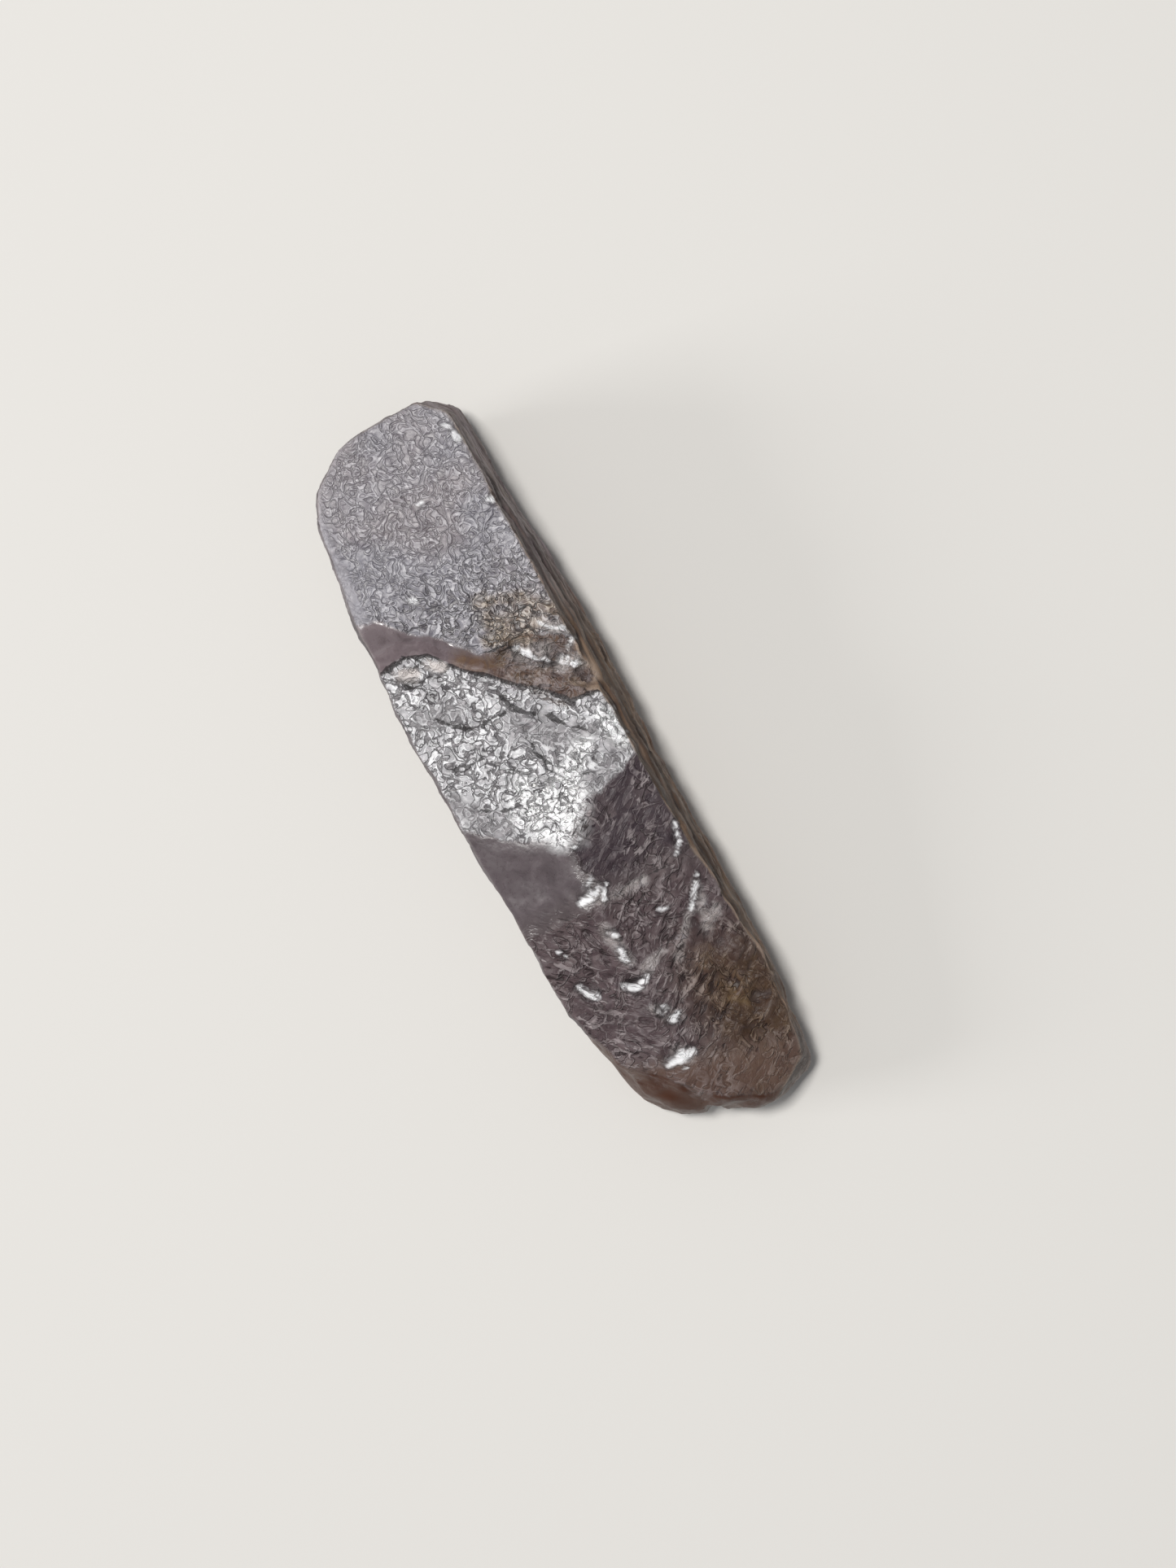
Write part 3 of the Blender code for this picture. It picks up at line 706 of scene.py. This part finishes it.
# %% Scar patterns
# Scars are strokes with scratches over them. They are thick in some zones, about a
# millimetre wide, and thin between them.
SCARS = {
    "pale_scars": (0.57, 0.64, "pale_scratches", 1.0),
    "dark_scars": (0.42, 0.32, "dark_scratches", 0.5),
}
for name, (begins, full, scratches, strength) in SCARS.items():
    inputs = {"Value": patterns["strokes"], "From Min": begins, "From Max": full}
    stroke = add_node(tree, "ShaderNodeMapRange", inputs).outputs[0]
    inputs = {0: patterns[scratches], 1: strength}
    scratch = add_node(tree, "ShaderNodeMath", inputs, operation="MULTIPLY").outputs[0]
    inputs = {0: stroke, 1: scratch}
    patterns[name] = add_node(tree, "ShaderNodeMath", inputs, operation="MAXIMUM").outputs[0]
inputs = {"Value": patterns["zones"], "From Min": 0.42, "From Max": 0.56, "To Min": 0.30}
zones = add_node(tree, "ShaderNodeMapRange", inputs).outputs[0]
inputs = {0: on["scarred"], 1: zones}
on["scarred"] = add_node(tree, "ShaderNodeMath", inputs, operation="MULTIPLY").outputs[0]
print(len(SCARS), "scar patterns")

# %% Facets and ragged shadow lines
# Broken corundum shows small flat facets of about a quarter of a millimetre. Their borders
# wander, so the place is shifted by a noise before the cells are drawn.
FACET_SIZE = 0.26
WANDER_SIZE = 0.4
WANDER = 0.35
inputs = {"Vector": in_mm, "Scale": 1 / WANDER_SIZE}
wander = add_node(tree, "ShaderNodeTexNoise", inputs).outputs["Color"]
inputs = {0: wander, 1: (WANDER, WANDER, WANDER), 2: in_mm}
wandering = add_node(tree, "ShaderNodeVectorMath", inputs, operation="MULTIPLY_ADD").outputs[0]
cells = add_node(tree, "ShaderNodeTexVoronoi", {"Vector": wandering, "Scale": 1 / FACET_SIZE})
patterns["facets"] = cells.outputs["Color"]
inputs = {0: on["shadow_line"], 1: patterns["ragged"]}
torn = add_node(tree, "ShaderNodeMath", inputs, operation="ADD").outputs[0]
inputs = {"Value": torn, "From Min": 1.10, "From Max": 1.30}
patterns["shadow"] = add_node(tree, "ShaderNodeMapRange", inputs).outputs[0]
print("Facets of", FACET_SIZE, "mm")

# %% [markdown]
# ## Coats and layers of colour
#
# The colour is built up as a painter would: first a flat coat for each kind of surface,
# then thin layers over it, each where its mask and its pattern both allow it. One loop
# lays every coat and another lays every layer, so a colour is changed in one place.

# %% Flat coats
BARE_STONE = "#6A6361"
COATS = {
    "side_face": "#7C614D",
    "left_side": "#7B7577",
    "back_face": "#736D71",
    "right_top": "#827375",
    "upper_face": "#726D74",
    "broad_face": "#BAB9BC",
    "grey_patch": "#858285",
    "groove_wall": "#73676A",
    "broken_stone": "#7A675C",
    "roof_left": "#5A5053",
    "roof_right": "#3D3238",
    "lumpy_base": "#4F4144",
    "brown_base": "#3F2C22",
    "smooth_base": "#5C473E",
    "base_lobe": "#48291A",
    "soft_rim": "#938F94",
    "brown_band": "#665046",
}
colour = linear(BARE_STONE)
for name, code in COATS.items():
    inputs = {0: on[name], 6: colour, 7: linear(code)}
    colour = add_node(tree, "ShaderNodeMix", inputs, data_type="RGBA").outputs[2]
print(len(COATS), "coats")

# %% Tones that change over the stone
# Each tone: what it follows, the values between which it changes, and its two colours.
TONES = {
    "frost_tint": (patterns["tints"], 0.42, 0.58, "#6B6E7E", "#7C6A6C"),
    "rust_tone": (patterns["rust"], 0.35, 0.65, "#5A4230", "#8A7250"),
    "curl_light": (on["broad_face"], 0.0, 1.0, "#BFBDC2", "#EDEDEF"),
    "layer_light": (on["grey_side"], 0.0, 1.0, "#9C8570", "#A0979A"),
    "layer_dark": (on["grey_side"], 0.0, 1.0, "#5A4334", "#5C5355"),
    "layer_line": (on["left_side"], 0.0, 1.0, "#2B1F18", "#3E383A"),
    "scar_facet": (on["brown_base"], 0.0, 1.0, "#7E7070", "#5F4B3F"),
    "scar_light": (on["brown_base"], 0.0, 1.0, "#A3999A", "#84705F"),
}
tones = {}
for name, (source, begins, full, first, second) in TONES.items():
    inputs = {"Value": source, "From Min": begins, "From Max": full}
    share = add_node(tree, "ShaderNodeMapRange", inputs).outputs[0]
    inputs = {0: share, 6: linear(first), 7: linear(second)}
    tones[name] = add_node(tree, "ShaderNodeMix", inputs, data_type="RGBA").outputs[2]
print(len(TONES), "tones")

# %% Thin layers
# Each layer: its mask, its pattern, the pattern's values where it begins and is full, its
# weakest and strongest share, its colour or tone, and how it is mixed in.
LAYERS = (
    ("whole_stone", "clouds", 0.35, 0.70, 0.0, 0.25, "#A09A9E", "OVERLAY"),
    ("upper_face", "even", 0.0, 1.0, 0.0, 0.28, "frost_tint", "MIX"),
    ("iron_stain", "stains", 0.30, 0.62, 0.0, 0.80, "rust_tone", "MIX"),
    ("etch_depth", "light_curls", 0.0, 1.0, 0.0, 0.80, "curl_light", "MIX"),
    ("etch_depth", "dark_curls", 0.0, 1.0, 0.0, 0.85, "#423C40", "MIX"),
    ("side_face", "broad_layers", 0.52, 0.66, 0.0, 0.60, "layer_light", "MIX"),
    ("side_face", "broad_layers", 0.48, 0.36, 0.0, 0.70, "layer_dark", "MIX"),
    ("side_face", "layer_lines", 0.0, 1.0, 0.0, 0.60, "layer_line", "MIX"),
    # A painted highlight on the rounded right rim, then painted shade below it.
    ("right_rim_highlight", "even", 0.0, 1.0, 0.0, 0.75, "#B39F8E", "MIX"),
    ("right_shade", "even", 0.0, 1.0, 0.0, 0.80, "#2F2622", "MIX"),
    ("groove_wall", "wall_streaks", 0.54, 0.70, 0.0, 0.50, "#968B8D", "MIX"),
    ("groove_wall", "wall_streaks", 0.46, 0.32, 0.0, 0.60, "#54484A", "MIX"),
    ("roof_left", "wall_streaks", 0.54, 0.68, 0.0, 0.35, "#7C7275", "MIX"),
    ("roof_left", "wall_streaks", 0.46, 0.34, 0.0, 0.55, "#41373A", "MIX"),
    # The hollows are painted darker and the crests lighter.
    ("darker_hollows", "even", 0.0, 1.0, 0.0, 1.00, "#40383A", "MIX"),
    ("lighter_crests", "even", 0.0, 1.0, 0.0, 0.40, "#BDB8BB", "MIX"),
    ("whole_stone", "shadow", 0.0, 1.0, 0.0, 0.85, "#2E2A2B", "MIX"),
    # Paler stone, and around the glints a painted pale halo.
    ("pale_patch", "facets", 0.15, 0.50, 0.30, 1.00, "#D3CBC8", "MIX"),
    ("ochre", "clouds", 0.35, 0.55, 0.30, 0.75, "#D0B483", "MULTIPLY"),
    # The polished places get a painted white highlight, broken by dark gaps and curls.
    ("polish_and_highlight", "facets", 0.12, 0.24, 0.0, 1.00, "#FAFAFB", "MIX"),
    ("polish_and_highlight", "sparkle_gaps", 0.0, 1.0, 0.0, 0.90, "#4A4648", "MIX"),
    ("polish_and_highlight", "dark_curls", 0.0, 1.0, 0.0, 0.72, "#4A4648", "MIX"),
    ("scarred", "facets", 0.20, 0.80, 0.0, 0.35, "scar_facet", "MIX"),
    ("scarred", "pale_scars", 0.0, 1.0, 0.0, 0.65, "scar_light", "MIX"),
    ("scarred", "dark_scars", 0.0, 1.0, 0.0, 0.80, "#281E1F", "MIX"),
    # Painted glints: a painted dark rim, then the white highlights themselves.
    ("glint_rim", "even", 0.0, 1.0, 0.0, 0.65, "#2A2325", "MIX"),
    ("cut_glint", "strokes", 0.40, 0.45, 0.24, 0.95, "#F2F2F4", "MIX"),
    ("frost_glint", "even", 0.0, 1.0, 0.0, 0.95, "#F2F2F4", "MIX"),
)
for name, pattern, begins, full, weakest, strongest, code, blend in LAYERS:
    inputs = {"Value": patterns[pattern], "From Min": begins, "From Max": full}
    inputs.update({"To Min": weakest, "To Max": strongest})
    strength = add_node(tree, "ShaderNodeMapRange", inputs).outputs[0]
    inputs = {0: on[name], 1: strength}
    share = add_node(tree, "ShaderNodeMath", inputs, operation="MULTIPLY").outputs[0]
    laid = tones[code] if code in tones else linear(code)
    inputs = {0: share, 6: colour, 7: laid}
    colour = add_node(tree, "ShaderNodeMix", inputs, data_type="RGBA", blend_type=blend).outputs[2]
print(len(LAYERS), "layers")

# %% [markdown]
# ## Gloss and fine relief
#
# The masks already say how rough each surface is. Shadow lines are rougher still, and the
# grain varies it a little. The curls and scars are finer than the skin can carry, so they
# also go into two bumps: one as deep as real etching, a few hundredths of a millimetre,
# and one for the grain.

# %% Roughness
SHADOW_ROUGHNESS = 0.35
GRAIN_ROUGHNESS = 0.06
inputs = {0: patterns["shadow"], 1: SHADOW_ROUGHNESS, 2: on["roughness"]}
rough = add_node(tree, "ShaderNodeMath", inputs, operation="MULTIPLY_ADD").outputs[0]
inputs = {"Value": patterns["grain"], "From Min": 0.3, "From Max": 0.7}
inputs.update({"To Min": -GRAIN_ROUGHNESS, "To Max": GRAIN_ROUGHNESS})
speckle = add_node(tree, "ShaderNodeMapRange", inputs).outputs[0]
inputs = {0: rough, 1: speckle}
rough = add_node(tree, "ShaderNodeMath", inputs, operation="ADD", use_clamp=True).outputs[0]
print("The grain changes the roughness by", GRAIN_ROUGHNESS)

# %% Bumps
# Each relief: what stands up, how much of it counts, what is cut in, and where.
RELIEFS = (
    ("light_curls", 0.8, "dark_curls", "etch_depth"),
    ("pale_scars", 1.0, "dark_scars", "scarred"),
)
ETCH_DEPTH = 0.035
GRAIN_DEPTH = 0.020
etched_height = 0.0
for raised, counts, cut, name in RELIEFS:
    inputs = {0: patterns[raised], 1: counts}
    ridge = add_node(tree, "ShaderNodeMath", inputs, operation="MULTIPLY").outputs[0]
    inputs = {0: ridge, 1: patterns[cut]}
    profile = add_node(tree, "ShaderNodeMath", inputs, operation="SUBTRACT").outputs[0]
    inputs = {0: profile, 1: on[name], 2: etched_height}
    etched_height = add_node(tree, "ShaderNodeMath", inputs, operation="MULTIPLY_ADD").outputs[0]
inputs = {"Height": etched_height, "Distance": ETCH_DEPTH * MM}
etch_bump = add_node(tree, "ShaderNodeBump", inputs).outputs["Normal"]
inputs = {"Height": patterns["grain"], "Distance": GRAIN_DEPTH * MM}
inputs.update({"Strength": on["grain_depth"], "Normal": etch_bump})
grain_bump = add_node(tree, "ShaderNodeBump", inputs).outputs["Normal"]
print("Etching", ETCH_DEPTH, "mm deep, grain", GRAIN_DEPTH, "mm")

# %% Join the surface together
SAPPHIRE_IOR = 1.77
SCATTERED = 0.2
SCATTER_REACH = 0.15
tree.links.new(colour, surface.inputs["Base Color"])
tree.links.new(rough, surface.inputs["Roughness"])
tree.links.new(grain_bump, surface.inputs["Normal"])
surface.inputs["IOR"].default_value = SAPPHIRE_IOR
surface.inputs["Subsurface Weight"].default_value = SCATTERED
surface.inputs["Subsurface Radius"].default_value = (1.0, 0.85, 0.95)
surface.inputs["Subsurface Scale"].default_value = SCATTER_REACH * MM
print("The material has", len(tree.nodes), "nodes")

# %% [markdown]
# ## The stained stone
#
# Clay and iron fill the pores of the sides, the break and the rough lower half, and so
# these reflect less at their surface than the clean frosted faces. A copy of the material
# with a weaker reflection is given to those faces of the mesh.

# %% A second version of the material, by face
STAINED_REFLECTION = 0.15
stained_sapphire = sapphire.copy()
stained_sapphire.name = "stained_sapphire"
stained_surface = stained_sapphire.node_tree.nodes["Principled BSDF"]
stained_surface.inputs["Specular IOR Level"].default_value = STAINED_REFLECTION
stone.data.materials.clear()
stone.data.materials.append(sapphire)
stone.data.materials.append(stained_sapphire)
clean_share = upper + broad + roof_left + wall_gloss
corners = read(stone.data.polygons, "vertices", 4, np.int32)
is_stained = (clean_share[corners].mean(axis=1) < 0.5).astype(np.int32)
stone.data.polygons.foreach_set("material_index", is_stained)
stone.data.shade_smooth()
print("Stained:", percent(is_stained), "of the faces")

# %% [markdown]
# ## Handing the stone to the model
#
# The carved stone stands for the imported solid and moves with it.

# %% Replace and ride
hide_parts("crystal")
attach(stone, "root")
print("rough_sapphire stands for crystal")

# %% [markdown]
# ## Floor and light
#
# The stone lies on a plain pale surface. One soft lamp stands close to the camera's own
# direction, on the side of the rounded end, because the broad face mirrors that part of
# the sky to the eye and lights up there, while the two roof faces mirror the dim part.

# %% Floor
FLOOR_REACH = 0.6
floor_mesh = bpy.data.meshes.new("floor")
corners = [(x * FLOOR_REACH, y * FLOOR_REACH, 0) for x, y in ((-1, -1), (1, -1), (1, 1), (-1, 1))]
floor_mesh.from_pydata(corners, [], [(0, 1, 2, 3)])
floor = bpy.data.objects.new("floor", floor_mesh)
bpy.context.scene.collection.objects.link(floor)
# Card is pressed paper. It scatters light evenly, so the stone's shadow lies soft on it.
card = bpy.data.materials.new("matt_card")
card.use_nodes = True
card.node_tree.nodes["Principled BSDF"].inputs["Base Color"].default_value = linear("#DEDCD8")
card.node_tree.nodes["Principled BSDF"].inputs["Roughness"].default_value = 0.85
floor_mesh.materials.append(card)
print("The floor reaches", FLOOR_REACH, "m each way")

# %% Lamps and sky
def soft_lamp(name, direction, distance, size, watts, code):
    """A square area lamp that looks at the stone. Distance and size are in metres."""
    lamp = bpy.data.lights.new(name, "AREA")
    lamp.size = size
    lamp.energy = watts
    lamp.color = linear(code)[:3]
    made = bpy.data.objects.new(name, lamp)
    way = Vector(direction).normalized()
    made.location = way * distance
    made.rotation_euler = way.to_track_quat("Z", "Y").to_euler()
    bpy.context.scene.collection.objects.link(made)


soft_lamp("key_lamp", (0.17, 0.07, 0.98), 0.26, 0.045, 0.50, "#FFFDFA")
soft_lamp("side_lamp", (0.3, 0.9, 0.38), 0.35, 0.12, 0.45, "#FFFFFF")
sky = bpy.data.worlds.new("sky")
sky.use_nodes = True
sky.node_tree.nodes["Background"].inputs["Color"].default_value = linear("#E6E8EC")
sky.node_tree.nodes["Background"].inputs["Strength"].default_value = 0.28
bpy.context.scene.world = sky
bpy.context.scene.view_settings.view_transform = "Standard"
print("Two lamps and a dim sky")

# %% [markdown]
# ## Camera
#
# The camera looks straight down on the front face, leaning 4 degrees, and is turned so
# that the stone stands at a slant in the picture, with its rounded end at the upper left.

# %% Camera
LEAN = math.radians(26.16)
CAMERA_DISTANCE = 120.2
AIM = (0.904, -0.278)

out_of_page = Vector((0, -math.sin(VIEW_TILT), math.cos(VIEW_TILT)))
along_stone = Vector((1, 0, 0))
over_stone = Vector((0, math.cos(VIEW_TILT), math.sin(VIEW_TILT)))
right = -math.sin(LEAN) * along_stone - math.cos(LEAN) * over_stone
upward = math.cos(LEAN) * along_stone - math.sin(LEAN) * over_stone
target = Vector((0, 0, MIDDLE_HEIGHT)) + AIM[0] * right + AIM[1] * upward
lens = bpy.data.cameras.new("camera")
lens.lens = 100
lens.sensor_width = 36
lens.clip_start = 0.001
camera = bpy.data.objects.new("camera", lens)
bpy.context.scene.collection.objects.link(camera)
pose = Matrix((right, upward, out_of_page)).transposed().to_4x4()
pose.translation = (target + out_of_page * CAMERA_DISTANCE) * MM
camera.matrix_world = pose
bpy.context.scene.camera = camera
print("The camera is", CAMERA_DISTANCE, "mm above the stone")
